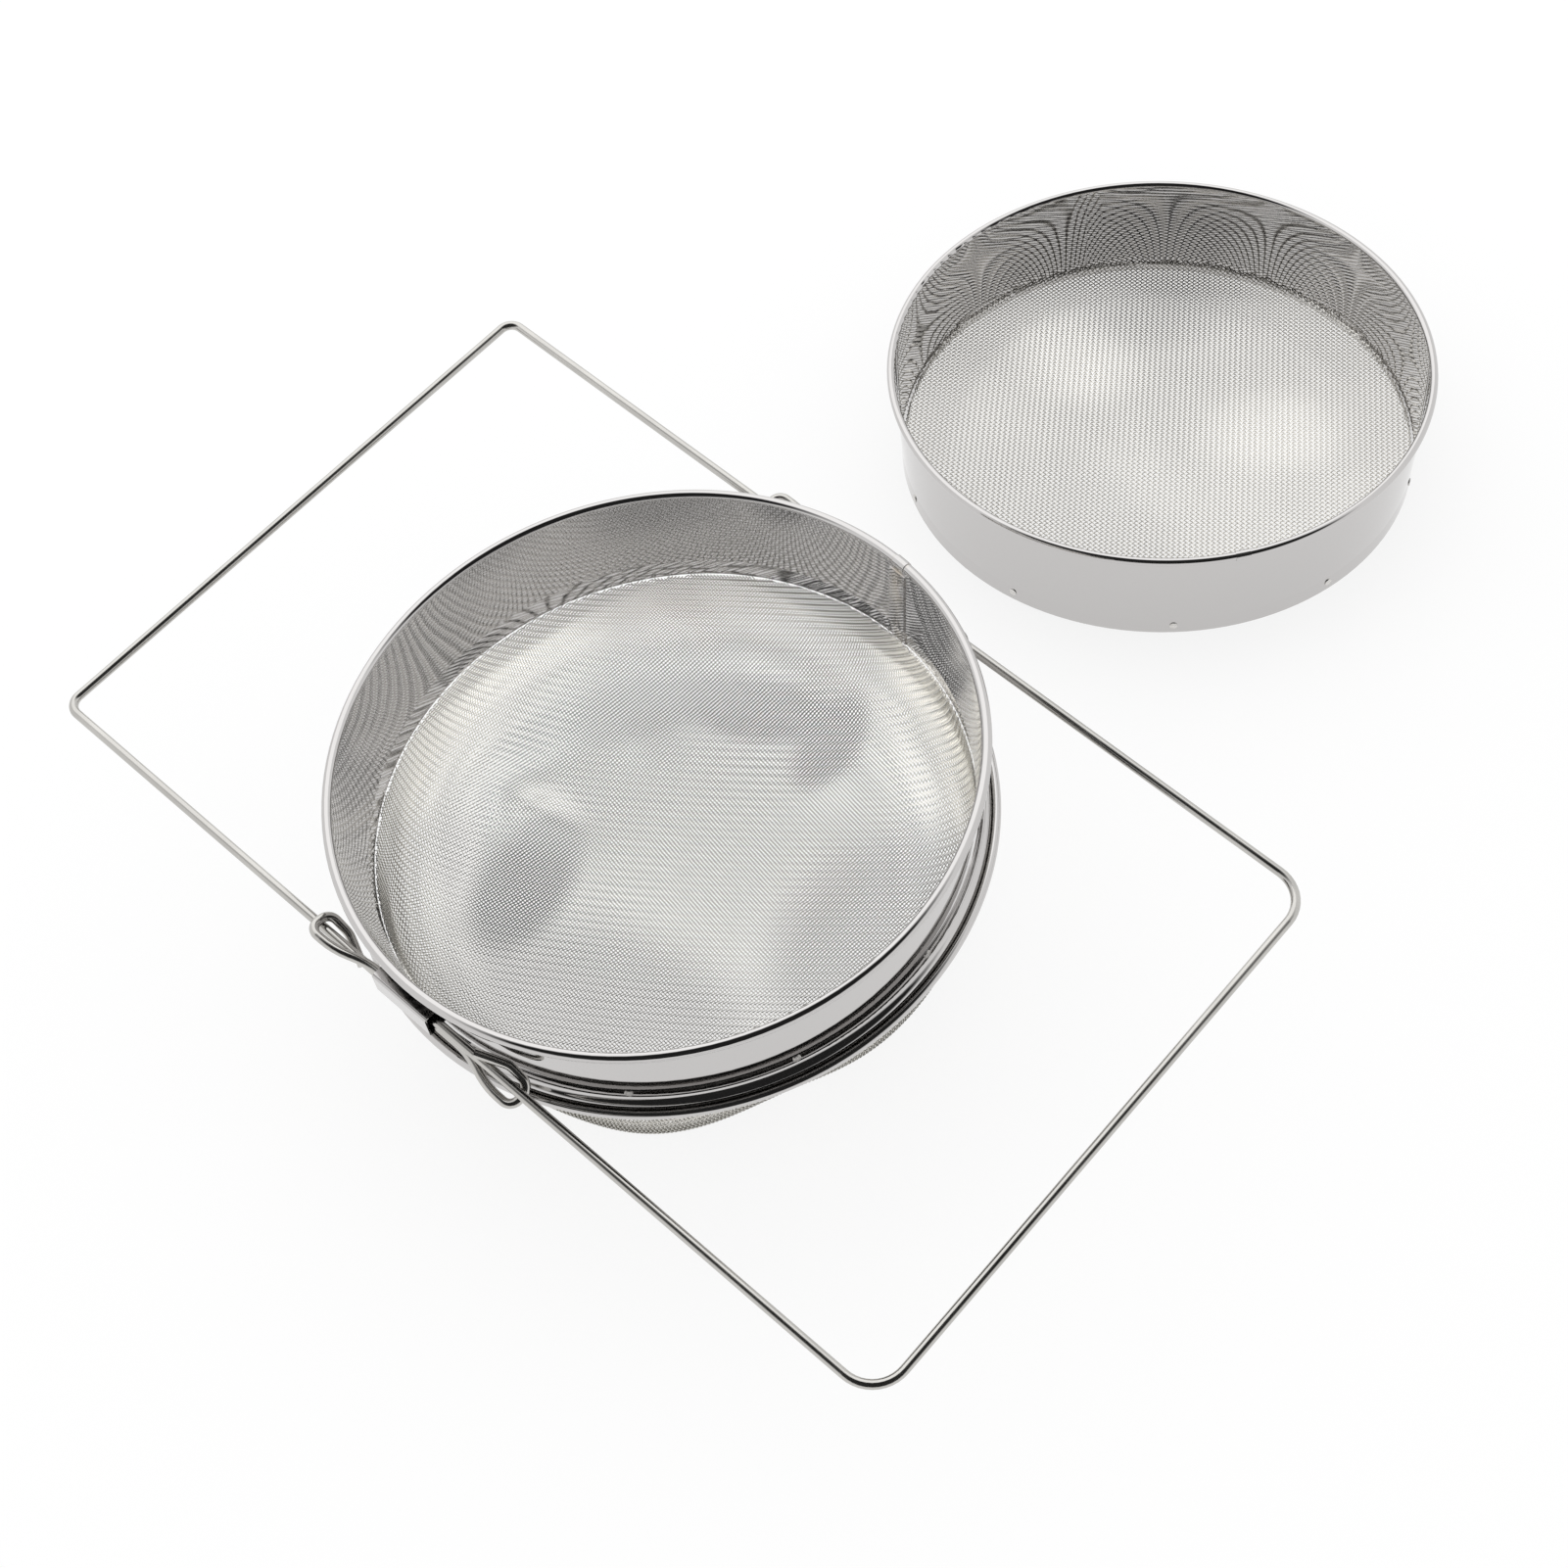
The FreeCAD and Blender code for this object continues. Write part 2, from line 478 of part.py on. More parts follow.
def build():
    """Make every piece; returns {name: (object, placement of its ring or slide frame)}."""
    fine_height = size(f"bowl_crown_radius - {BOWL_CROWN_LEVEL} * cos(lean * 1 deg)")
    ring = FreeCAD.Placement(UP * fine_height, FreeCAD.Rotation(EAST, size("lean")))
    slide = ring * FreeCAD.Placement(FreeCAD.Vector(-size("sleeve_offset"), 0, -size("sleeve_depth")),
                                     FreeCAD.Rotation(NORTH, size("droop")))
    coarse = FreeCAD.Placement(FreeCAD.Vector(size("coarse_offset_x"), size("coarse_offset_y"),
                                              size("coarse_band_depth")), FreeCAD.Rotation())
    pieces = {}

    def keep(item, pose):
        item.Label = item.Name
        pieces[item.Name] = (item, pose)

    keep(fine_band(), ring * turned(UP, size("fine_seam_angle")))
    wire, pose = ring_wire("fine_rim_wire", "fine_rim_radius", "fine_roll_radius", "0")
    keep(wire, ring * pose)
    clip_turn = size("fine_seam_angle - clip_length / fine_rim_radius * 90 / pi")
    keep(rim_clip("fine_rim_clip", "fine_rim_radius", "fine_roll_radius"), ring * turned(UP, clip_turn))
    keep(mesh_bowl(), ring)
    keep(bottom_hoop(), ring)
    wire, pose = ring_wire("fine_hoop_wire", "hoop_rim_radius", "hoop_roll_radius", "-hoop_bead_depth")
    keep(wire, ring * pose)
    keep(weld_ring("fine_weld_spots", HOOP_RADIUS, "fine_weld_depth", "fine_weld_count",
                   "fine_weld_angle"), ring)
    for name, side in (("near_guide_sleeve", -1), ("far_guide_sleeve", 1)):
        keep(guide_sleeve(name, side, ring, slide), FreeCAD.Placement())
    keep(sliding_frame("right"), slide)
    keep(sliding_frame("left"), slide * turned(NORTH, 180))
    keep(coarse_band(), coarse * turned(UP, size("coarse_seam_angle")))
    wire, pose = ring_wire("coarse_rim_wire", "coarse_rim_radius", "coarse_roll_radius", "0")
    keep(wire, coarse * pose)
    clip_turn = size("coarse_seam_angle - clip_length / coarse_rim_radius * 90 / pi")
    keep(rim_clip("coarse_rim_clip", "coarse_rim_radius", "coarse_roll_radius"),
         coarse * turned(UP, clip_turn))
    keep(coarse_mesh(), coarse)
    keep(weld_ring("coarse_weld_spots", "coarse_band_radius", "coarse_weld_depth",
                   "coarse_weld_count", "coarse_weld_angle"), coarse)
    return pieces


def place(pieces):
    """Set the pieces in their places, then move the whole to the middle of its footprint."""
    for item, pose in pieces.values():
        item.Placement = pose
    doc.recompute()
    box = FreeCAD.BoundBox()
    for item, _ in pieces.values():
        box.add(item.Shape.optimalBoundingBox(False, False))
    centring = FreeCAD.Placement(FreeCAD.Vector(-box.Center.x, -box.Center.y, 0), FreeCAD.Rotation())
    for item, pose in pieces.values():
        item.Placement = centring * pose
    doc.recompute()
    print("shift to the middle:", centring.Base, "height:", box.ZMin, box.ZMax)


def check_and_export(pieces):
    for item in doc.Objects:
        if "Invalid" in item.State or "Error" in item.State:
            raise RuntimeError(f"{item.Name}: {item.State}")
    for name, (item, _) in pieces.items():
        if item.Shape.isNull() or not item.Shape.isValid() or item.Shape.Volume <= 0:
            raise RuntimeError(f"{name} has no valid shape")
    os.makedirs("parts", exist_ok=True)
    for name, (item, _) in pieces.items():
        item.Shape.exportStep(f"parts/{name}.step")
        print(f"{name}: {len(item.Shape.Solids)} solid(s), {item.Shape.Volume:.1f} mm3")


fill_sheet()
strainer = build()
doc.recompute()
place(strainer)
check_and_export(strainer)
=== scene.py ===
"""Looks of the double sieve strainer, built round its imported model.

Every coordinate is in metres in the model's own frame. The bands, hoop, clips, sleeves, welds and
frames are the model's own pieces in better finishes. The two woven meshes are made here, wire by
wire.
"""
import math

import bpy
import numpy as np
from bpy.props import FloatProperty, FloatVectorProperty, IntProperty, PointerProperty
from mathutils import Matrix, Vector


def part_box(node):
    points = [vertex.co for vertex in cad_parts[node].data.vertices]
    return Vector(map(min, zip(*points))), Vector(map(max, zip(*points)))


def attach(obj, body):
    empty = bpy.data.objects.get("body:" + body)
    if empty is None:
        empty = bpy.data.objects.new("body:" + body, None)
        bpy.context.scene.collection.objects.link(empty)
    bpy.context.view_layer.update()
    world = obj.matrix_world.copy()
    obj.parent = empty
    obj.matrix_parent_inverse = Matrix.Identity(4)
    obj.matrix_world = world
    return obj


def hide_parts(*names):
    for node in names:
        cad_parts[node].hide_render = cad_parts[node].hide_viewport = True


bl_info = {
    "name": "Double Sieve Strainer",
    "version": (1, 0, 0),
    "blender": (4, 5, 0),
    "location": "3D View > Sidebar > Strainer",
    "description": "Finishes, woven meshes and studio for a double sieve strainer",
    "category": "Object",
}

MM = 0.001
# how the two cloths are turned in their rings
CLOTH_TURN = {"fine": math.radians(79), "coarse": math.radians(81)}
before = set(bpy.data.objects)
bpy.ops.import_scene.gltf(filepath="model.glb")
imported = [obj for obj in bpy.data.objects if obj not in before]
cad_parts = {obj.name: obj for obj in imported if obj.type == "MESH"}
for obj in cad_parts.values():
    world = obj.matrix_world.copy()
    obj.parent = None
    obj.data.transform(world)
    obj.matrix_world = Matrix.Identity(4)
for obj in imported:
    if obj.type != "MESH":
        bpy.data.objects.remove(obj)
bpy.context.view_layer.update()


# ---------------------------------------------------------------- colours and nodes

def linear(hex_colour):
    """A six-digit sRGB hex colour as linear red, green and blue."""
    channels = [int(hex_colour[place:place + 2], 16) / 255 for place in (1, 3, 5)]
    return tuple(c / 12.92 if c <= 0.04045 else ((c + 0.055) / 1.055) ** 2.4 for c in channels)


def add_node(material, kind, settings=None, **links):
    """Add a node: settings are its own properties, links are input values or (node, output) pairs.

    An input is named with underscores for spaces, or _0, _1 for its place."""
    tree = material.node_tree
    node = tree.nodes.new(kind)
    for name, value in (settings or {}).items():
        setattr(node, name, value)
    for name, value in links.items():
        key = int(name[1:]) if name[0] == "_" else name.replace("_", " ")
        socket = node.inputs[key]
        if isinstance(value, tuple) and value and isinstance(value[0], bpy.types.Node):
            tree.links.new(value[0].outputs[value[1]], socket)
        else:
            socket.default_value = value
    return node


def new_material(name):
    material = bpy.data.materials.new(name)
    material.use_nodes = True
    material.node_tree.nodes.clear()
    return material


def finish_material(material, shader):
    add_node(material, "ShaderNodeOutputMaterial", Surface=(shader, "BSDF"))
    return material


def set_ramp(ramp_node, stops):
    """Set a colour ramp's stops: (position, grey or linear colour)."""
    ramp = ramp_node.color_ramp
    while len(ramp.elements) < len(stops):
        ramp.elements.new(0.5)
    for element, (position, value) in zip(ramp.elements, stops):
        element.position = position
        colour = (value,) * 3 if isinstance(value, (int, float)) else value
        element.color = (*colour, 1)
    return ramp_node


# ---------------------------------------------------------------- sizes and colours to change

def length(name, description, millimetres):
    return FloatProperty(name=name, description=description, default=millimetres * MM,
                         unit="LENGTH", precision=5)


def colour(name, description, hex_colour):
    return FloatVectorProperty(name=name, description=description, subtype="COLOR",
                               default=linear(hex_colour), min=0, max=1)


class StrainerSizes(bpy.types.PropertyGroup):
    lean: FloatProperty(name="Lean", description="Tilt of the fine sieve about +X",
                        default=math.radians(6.36), subtype="ANGLE")
    fine_pitch: length("Fine pitch", "Wire spacing of the fine weave", 1.25)
    fine_wire: length("Fine wire", "Wire diameter of the fine weave", 0.42)
    bowl_radius: length("Bowl radius", "Middle of the weave on the bowl's upright side", 113.4)
    bowl_knuckle: length("Bowl knuckle", "Curve between the bowl's side and crown", 39.7)
    bowl_crown: length("Bowl crown", "Radius of the bowl's flat crown", 399.7)
    bowl_side: length("Bowl side", "Rim bead down to where the side curves in", 58.8)
    bowl_top: length("Bowl top", "Rim bead down to the bowl's edge, inside the band", 41.0)
    coarse_pitch: length("Coarse pitch", "Wire spacing of the coarse weave", 1.7)
    coarse_wire: length("Coarse wire", "Wire diameter of the coarse weave", 0.55)
    coarse_radius: length("Coarse cloth", "Flat part of the coarse weave", 111.2)
    fringe: length("Fringe", "Cut wire ends turned up inside the coarse band", 4.0)


class StrainerColours(bpy.types.PropertyGroup):
    sheet: colour("Sheet", "Polished stainless sheet", "#C6C4C3")
    weave: colour("Weave", "Woven stainless wire", "#E2E0DB")
    drawn: colour("Drawn wire", "Bright drawn wire of the frames", "#C4C2BE")
    weld: colour("Weld", "Spot weld", "#DEDCD9")
    tint: colour("Heat tint", "Straw tint beside a weld", "#C2BCB4")
    floor: colour("Floor", "Studio floor", "#F6F6F6")


def sizes():
    return bpy.context.scene.strainer_sizes


def colours():
    return bpy.context.scene.strainer_colours


def ring_frame(wire_node):
    """Where a sieve's ring lies: the middle of its rim wire, leaning for the fine sieve."""
    low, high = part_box(wire_node)
    lean = sizes().lean if wire_node.startswith("fine") else 0.0
    return Matrix.Translation((low + high) / 2) @ Matrix.Rotation(lean, 4, "X")


# ---------------------------------------------------------------- finishes

# straight_outside starts and is whole at these: how far the wall faces straight outward, as a
# cosine, and how far it lies below the middle of the rim wire
WALL_FACES_OUT = (0.9, 0.97)
WALL_BELOW_RIM = (1.5 * MM, 3.0 * MM)
# half the height of the space in which a soft patch of tone lies, and its middle below the rim
PATCH_DEPTH = 90 * MM
# where the fine band's lap seam is, round its ring
FINE_SEAM = math.radians(82.7)


def straight_outside(material, ring, in_ring):
    """A shading direction that makes the outside of a ring's wall mirror as an upright drum does.

    The rounding of the rim and the inside keep their own direction. in_ring is the place in the
    ring. The shape itself doesn't change."""
    flat = add_node(material, "ShaderNodeVectorMath", {"operation": "MULTIPLY"}, _0=in_ring,
                    _1=(1.0, 1.0, 0.0))
    outward = add_node(material, "ShaderNodeVectorMath", {"operation": "NORMALIZE"},
                       _0=(flat, "Vector"))
    outward = add_node(material, "ShaderNodeVectorRotate", {"rotation_type": "EULER_XYZ"},
                       Vector=(outward, "Vector"), Rotation=tuple(ring.to_euler()))
    surface = add_node(material, "ShaderNodeNewGeometry")
    agree = add_node(material, "ShaderNodeVectorMath", {"operation": "DOT_PRODUCT"},
                     _0=(surface, "Normal"), _1=(outward, "Vector"))
    outside = add_node(material, "ShaderNodeMapRange", _0=(agree, "Value"),
                       From_Min=WALL_FACES_OUT[0], From_Max=WALL_FACES_OUT[1])
    parts = add_node(material, "ShaderNodeSeparateXYZ", Vector=in_ring)
    below_bead = add_node(material, "ShaderNodeMapRange", _0=(parts, "Z"),
                          From_Min=-WALL_BELOW_RIM[0], From_Max=-WALL_BELOW_RIM[1])
    share = add_node(material, "ShaderNodeMath", {"operation": "MULTIPLY"},
                     _0=(outside, "Result"), _1=(below_bead, "Result"))
    return (add_node(material, "ShaderNodeMix", {"data_type": "VECTOR"}, _0=(share, "Value"),
                     _4=(surface, "Normal"), _5=(outward, "Vector")), 1)


def polished_sheet(name, base, roughness, ring=None, seam_angle=None, straight=False):
    """304 stainless sheet, rolled and mirror polished.

    The eye gets a clear reflection that wavers a little where the sheet isn't flat, and faint
    polishing lines round the ring."""
    material = new_material(name)
    place = add_node(material, "ShaderNodeTexCoord")
    if ring is None:
        position = (place, "Object")
    else:
        turn = ring.inverted().to_euler()
        moved = add_node(material, "ShaderNodeVectorMath", {"operation": "SUBTRACT"},
                         _0=(place, "Object"), _1=tuple(ring.translation))
        turned = add_node(material, "ShaderNodeVectorRotate", {"rotation_type": "EULER_XYZ"},
                          Vector=(moved, "Vector"), Rotation=tuple(turn))
        position = (turned, "Vector")
    # sheet unevenness about 25 mm across
    waves = add_node(material, "ShaderNodeTexNoise", Vector=position, Scale=40.0, Detail=2.0,
                     Roughness=0.4)
    # polishing lines: 0.4 mm apart across the sheet and drawn out to 40 mm along it
    lines_place = add_node(material, "ShaderNodeVectorMath", {"operation": "MULTIPLY"},
                           _0=position, _1=(25.0, 25.0, 2500.0))
    lines = add_node(material, "ShaderNodeTexNoise", Vector=(lines_place, "Vector"), Scale=1.0,
                     Detail=1.0)
    rough = add_node(material, "ShaderNodeMapRange", _0=(lines, "Fac"), From_Min=0.3, From_Max=0.7,
                     To_Min=roughness * 0.7, To_Max=roughness * 1.4)
    bump = add_node(material, "ShaderNodeBump", Height=(waves, "Fac"), Strength=0.08,
                    Distance=0.0005)
    if straight:
        node, output = straight_outside(material, ring, position)
        material.node_tree.links.new(node.outputs[output], bump.inputs["Normal"])
    shader = add_node(material, "ShaderNodeBsdfPrincipled", Metallic=1.0,
                      Roughness=(rough, "Result"), Normal=(bump, "Normal"))
    if seam_angle is None:
        shader.inputs["Base Color"].default_value = (*base, 1)
    else:
        parts = add_node(material, "ShaderNodeSeparateXYZ", Vector=position)
        angle = add_node(material, "ShaderNodeMath", {"operation": "ARCTAN2"},
                         _0=(parts, "Y"), _1=(parts, "X"))
        off = add_node(material, "ShaderNodeMath", {"operation": "SUBTRACT"},
                       _0=(angle, "Value"), _1=seam_angle)
        away = add_node(material, "ShaderNodeMath", {"operation": "ABSOLUTE"}, _0=(off, "Value"))
        # the tint fades out in blotches within about 4 mm of the seam
        blotch = add_node(material, "ShaderNodeTexNoise", Vector=position, Scale=180.0, Detail=3.0)
        spread = add_node(material, "ShaderNodeMath", {"operation": "MULTIPLY_ADD"},
                          _0=(blotch, "Fac"), _1=0.09, _2=(away, "Value"))
        ramp = set_ramp(add_node(material, "ShaderNodeValToRGB", Fac=(spread, "Value")),
                        [(0.045, colours().tint), (0.08, base)])
        material.node_tree.links.new(ramp.outputs["Color"], shader.inputs["Base Color"])
    return finish_material(material, shader)


def drawn_wire(name, base, roughness, pull):
    """Stainless wire pulled through a die: bright, with fine scratches along its length.

    pull is the direction in which the scratches run at most places."""
    material = new_material(name)
    place = add_node(material, "ShaderNodeTexCoord")
    stretch = tuple(300.0 if abs(c) > 0.5 else 3000.0 for c in pull)
    scaled = add_node(material, "ShaderNodeVectorMath", {"operation": "MULTIPLY"},
                      _0=(place, "Object"), _1=stretch)
    marks = add_node(material, "ShaderNodeTexNoise", Vector=(scaled, "Vector"), Scale=1.0,
                     Detail=2.0)
    # patches about 17 mm across
    patches = add_node(material, "ShaderNodeTexNoise", Vector=(place, "Object"), Scale=60.0,
                       Detail=2.0)
    both = add_node(material, "ShaderNodeMath", {"operation": "MULTIPLY"},
                    _0=(marks, "Fac"), _1=(patches, "Fac"))
    rough = add_node(material, "ShaderNodeMapRange", _0=(both, "Value"), From_Min=0.1,
                     From_Max=0.45, To_Min=roughness * 0.7, To_Max=roughness * 1.5)
    shade = add_node(material, "ShaderNodeMapRange", _0=(patches, "Fac"), From_Min=0.3,
                     From_Max=0.7, To_Min=0.88, To_Max=1.0)
    tone = add_node(material, "ShaderNodeVectorMath", {"operation": "SCALE"},
                    _0=tuple(base), Scale=(shade, "Result"))
    shader = add_node(material, "ShaderNodeBsdfPrincipled", Metallic=1.0,
                      Roughness=(rough, "Result"), Base_Color=(tone, "Vector"))
    return finish_material(material, shader)


def woven_wire(name, base, roughness, ring=None, tones=()):
    """Annealed stainless weaving wire: soft and satin, with its tone a little uneven.

    tones lists soft patches of painted shade and painted highlight on the wire in the ring. Each
    has its degrees round the ring, mm out from the ring's axis, mm long, mm wide, the degrees its
    long side is turned from the radius, and how much it darkens the wire (below 0, brightens it)."""
    material = new_material(name)
    place = add_node(material, "ShaderNodeTexCoord")
    # unevenness about 30 mm across
    patches = add_node(material, "ShaderNodeTexNoise", Vector=(place, "Object"), Scale=35.0,
                       Detail=3.0)
    shade = (add_node(material, "ShaderNodeMapRange", _0=(patches, "Fac"), From_Min=0.3,
                      From_Max=0.7, To_Min=0.93, To_Max=1.0), "Result")
    # each patch scales the wire's colour: painted shade, and painted highlight where darker is
    # below 0
    for degrees, out, long, wide, turned, darker in tones:
        around = math.radians(degrees)
        place_in_ring = (ring @ Matrix.Rotation(around, 4, "Z")
                         @ Matrix.Translation((out * MM, 0, -PATCH_DEPTH))
                         @ Matrix.Rotation(math.radians(turned), 4, "Z"))
        patch_place = add_node(material, "ShaderNodeMapping", {"vector_type": "TEXTURE"},
                               Vector=(place, "Object"), Location=tuple(place_in_ring.translation),
                               Rotation=tuple(place_in_ring.to_euler()),
                               Scale=(long * MM, wide * MM, PATCH_DEPTH))
        patch = add_node(material, "ShaderNodeTexGradient", {"gradient_type": "SPHERICAL"},
                         Vector=(patch_place, "Vector"))
        soft = add_node(material, "ShaderNodeMapRange", {"interpolation_type": "SMOOTHSTEP"},
                        _0=(patch, "Fac"), From_Min=0.0, From_Max=0.5, To_Min=1.0,
                        To_Max=1.0 - darker)
        shade = (add_node(material, "ShaderNodeMath", {"operation": "MULTIPLY"}, _0=shade,
                          _1=(soft, "Result")), "Value")
    tone = add_node(material, "ShaderNodeVectorMath", {"operation": "SCALE"},
                    _0=tuple(base), Scale=shade)
    shader = add_node(material, "ShaderNodeBsdfPrincipled", Metallic=1.0, Roughness=roughness,
                      Base_Color=(tone, "Vector"))
    return finish_material(material, shader)


def use_material(node_names, material):
    for name in node_names:
        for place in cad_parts[name].material_slots:
            place.material = material


# ---------------------------------------------------------------- woven wire geometry

def weave_wires(pitch, wire, surface, keep, reach, across, float_length, swell, sides):
    """Half of a woven cloth: all the wires that run one way, as closed tubes.

    surface(u, v) gives points and normals for places in the flat cloth, keep(u, v) says which of
    them are on it, and reach is its half width. A wire passes over float_length wires and under the
    next ones, so a float of 1 is plain weave and 2 is twill. swell is how far it stands off the
    cloth's middle at each float, in wire diameters. The wires run along v if across is set, and
    else along u."""
    count = int(reach / pitch) + 2
    # each tube has a flat face on top
    turn = math.pi / 2 + (np.arange(sides) + 0.5) * 2 * math.pi / sides
    verts, faces = [], []
    total = 0
    for row in range(-count, count):
        first = (row - count) // float_length
        last = (row + count) // float_length + 1
        floats = np.arange(first, last)
        along = (floats * float_length + (float_length - 1) / 2 - row + 0.5) * pitch
        beside = np.full_like(along, (row + 0.5) * pitch)
        u, v = (beside, along) if across else (along, beside)
        inside = np.flatnonzero(keep(u, v))
        if len(inside) < 3:
            continue
        part = slice(inside[0], inside[-1] + 1)
        points, normals = surface(u[part], v[part])
        side_of_cloth = np.where(floats[part] % 2 == 0, 1.0, -1.0) * (-1 if across else 1)
        points = points + normals * (side_of_cloth * swell * wire)[:, None]
        tangent = np.gradient(points, axis=0)
        tangent /= np.linalg.norm(tangent, axis=1)[:, None]
        side = np.cross(tangent, normals)
        side /= np.linalg.norm(side, axis=1)[:, None]
        up = np.cross(side, tangent)
        ring = points[:, None, :] + wire / 2 * (np.cos(turn)[None, :, None] * side[:, None, :]
                                                + np.sin(turn)[None, :, None] * up[:, None, :])
        verts.append(ring.reshape(-1, 3))
        steps = np.arange(len(points) - 1)[:, None] * sides
        here = steps + np.arange(sides)[None, :]
        after = steps + (np.arange(sides)[None, :] + 1) % sides
        quads = np.stack([here, after, after + sides, here + sides], axis=-1)
        faces.append(quads.reshape(-1, 4) + total)
        total += len(points) * sides
        caps = np.array([(0, corner + 2, corner + 1, corner) for corner in range(1, sides - 1, 2)])
        faces.append(caps + total - len(points) * sides)
        faces.append(caps[:, ::-1] + total - sides)
    return np.vstack(verts), np.vstack(faces)


def surface_of(shape):
    """The points and unit normals of a cloth whose points shape(u, v) gives."""
    step = 0.2 * MM

    def surface(u, v):
        normal = np.cross(shape(u + step, v) - shape(u - step, v),
                          shape(u, v + step) - shape(u, v - step))
        return shape(u, v), normal / np.linalg.norm(normal, axis=1)[:, None]

    return surface


def mesh_piece(name, verts, faces, material, body, place):
    mesh = bpy.data.meshes.new(name)
    mesh.from_pydata(verts, [], faces)
    mesh.materials.append(material)
    mesh.transform(place)
    mesh.update()
    piece = bpy.data.objects.new(name, mesh)
    bpy.context.scene.collection.objects.link(piece)
    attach(piece, body)
    return piece


# ---------------------------------------------------------------- fine weave

# Dents of the pressed bowl: where, in ring degrees and mm from the ring axis, how far in, and how
# long and wide, all in mm. A dent with a minus sign stands out instead.
BOWL_DENTS = (
    (190, 78, 3.2, 17, 10),
    (-55, 102, -3.0, 26, 26),
    (-26, 102, 4.0, 26, 26),
    (150, 84, 1.2, 14, 12),
    (85, 80, 1.6, 16, 12),
    (250, 60, 0.8, 26, 20),
    (20, 55, 0.8, 30, 22),
)

# Painted shade and painted highlights on the bowl's wire: darker patches where the weave mirrors
# the studio's unlit side, brighter ones on the upright side; see woven_wire
BOWL_PAINTED_SHADE_AND_HIGHLIGHTS = (
    (117, 86, 16, 42, 0, 0.9),
    (148, 90, 15, 40, 0, 0.5),
    (93, 82, 26, 17, 0, 0.75),
    (-146, 71, 23, 42, -17, 0.82),
    (-80, 66, 60, 90, 0, 0.46),
    (20, 72, 50, 66, 0, 0.48),
    (68, 113, 30, 60, 0, -0.32),
    (180, 113, 26, 110, 0, -0.3),
)


def bowl_arc():
    """Lengths of the bowl's profile: the crown, the knuckle and the upright side; and the turn."""
    size = sizes()
    turn = math.asin((size.bowl_radius - size.bowl_knuckle)
                     / (size.bowl_crown - size.bowl_knuckle))
    return (size.bowl_crown * turn, size.bowl_knuckle * (math.pi / 2 - turn),
            size.bowl_side - size.bowl_top, turn)


def bowl_shape(u, v):
    """Where a place in the flat cloth lies once pressed into the bowl, in the ring's frame."""
    size = sizes()
    crown_length, knuckle_length, side_length, turn = bowl_arc()
    distance = np.hypot(u, v)
    around = np.arctan2(v, u)
    on_crown = np.minimum(distance, crown_length) / size.bowl_crown
    on_knuckle = np.clip(distance - crown_length, 0, knuckle_length) / size.bowl_knuckle
    on_side = np.clip(distance - crown_length - knuckle_length, 0, side_length + MM)
    angle = on_crown + on_knuckle
    in_crown = on_knuckle == 0
    middle = (size.bowl_crown - size.bowl_knuckle) * np.array([math.sin(turn), math.cos(turn)])
    radius = np.where(in_crown, size.bowl_crown * np.sin(angle),
                      middle[0] + size.bowl_knuckle * np.sin(angle))
    level = np.where(in_crown, middle[1] - size.bowl_crown * np.cos(angle),
                     -size.bowl_knuckle * np.cos(angle)) - size.bowl_side + on_side
    dented = np.zeros_like(radius)
    x, y = radius * np.cos(around), radius * np.sin(around)
    for degrees, out, depth, long, wide in BOWL_DENTS:
        c, n = math.cos(math.radians(degrees)), math.sin(math.radians(degrees))
        lengthwise = (x * c + y * n - out * MM) / (long * MM)
        crosswise = (y * c - x * n) / (wide * MM)
        dented += depth * MM * np.exp(-lengthwise ** 2 - crosswise ** 2)
    # the dents fade out over the last 12 mm under the bowl's edge
    dented = dented * np.clip((-size.bowl_top - level) / (12 * MM), 0, 1)
    radius = radius - dented * np.sin(angle)
    level = level + dented * np.cos(angle)
    return np.stack([radius * np.cos(around), radius * np.sin(around), level], axis=-1)


class STRAINER_OT_fine_weave(bpy.types.Operator):
    """Weave the fine sieve's domed mesh, wire by wire"""
    bl_idname = "strainer.fine_weave"
    bl_label = "Fine weave"

    def execute(self, context):
        size = sizes()
        reach = sum(bowl_arc()[:3])
        place = ring_frame("fine_rim_wire")
        # the bowl's wire material carries painted shade and painted highlights
        material = woven_wire("woven_stainless_fine", colours().weave, 0.2, place, BOWL_PAINTED_SHADE_AND_HIGHLIGHTS)
        c, n = math.cos(CLOTH_TURN["fine"]), math.sin(CLOTH_TURN["fine"])

        def shape(u, v):
            return bowl_shape(c * u - n * v, n * u + c * v)

        for name, across in (("fine_warp_wires", False), ("fine_weft_wires", True)):
            verts, faces = weave_wires(size.fine_pitch, size.fine_wire, surface_of(shape),
                                       lambda u, v: np.hypot(u, v) < reach, reach, across,
                                       float_length=2, swell=0.8, sides=4)
            mesh_piece(name, verts, faces, material, "fine_sieve",
                                     place)
        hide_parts("fine_mesh_bowl")
        return {"FINISHED"}


# ---------------------------------------------------------------- coarse weave

# Painted shade and painted highlights on the flat cloth's wire, as soft darker and brighter
# patches: see woven_wire
DISC_PAINTED_SHADE_AND_HIGHLIGHTS = (
    (128, 78, 34, 50, 0, 0.22),
    (165, 62, 50, 40, 0, -0.3),
    (40, 52, 50, 40, 0, -0.25),
    (-90, 70, 60, 120, 0, 0.14),
)
# how unevenly the cloth's edge is cut, and how many cuts there are round it
CUT_SHORT = 1.8 * MM
CUTS_PER_DEGREE = 2


